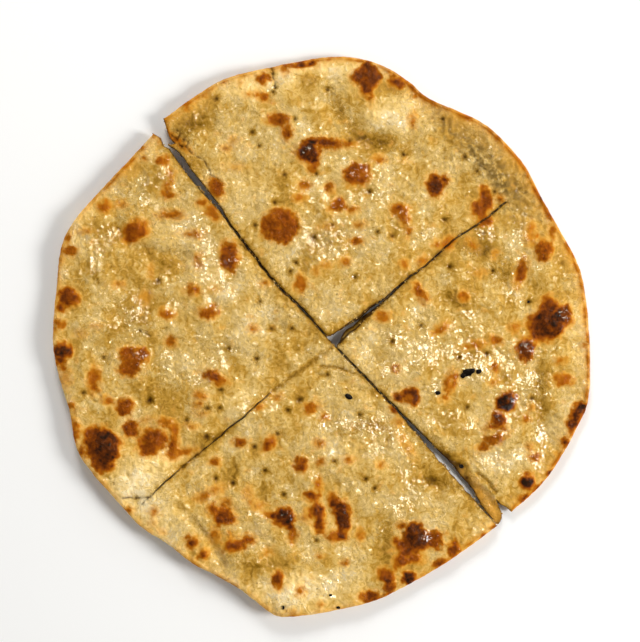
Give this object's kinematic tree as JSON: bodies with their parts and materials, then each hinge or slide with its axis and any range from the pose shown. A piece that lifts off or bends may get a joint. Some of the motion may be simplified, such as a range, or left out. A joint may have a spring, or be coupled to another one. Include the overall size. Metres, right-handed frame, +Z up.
{
  "type": "tandoori roti cut crosswise",
  "caption": "Round flat bread with char blisters, cut crosswise and still in its whole shape: two closed halves lying side by side with a narrow gap.",
  "frame": {"origin": "centre of the round's outline, on the surface it lies on", "axes": "+Z up out of the browned top, +Y towards the top of the picture, +X to its right"},
  "size_m": [0.2258, 0.2354, 0.0078],
  "materials": {
    "roti_crust": "baked wheat dough, golden with brown and black char blisters, oiled"
  },
  "bodies": {
    "root": {"upper_right_half": "roti_crust", "lower_left_half": "roti_crust"}
  },
  "joints": []
}
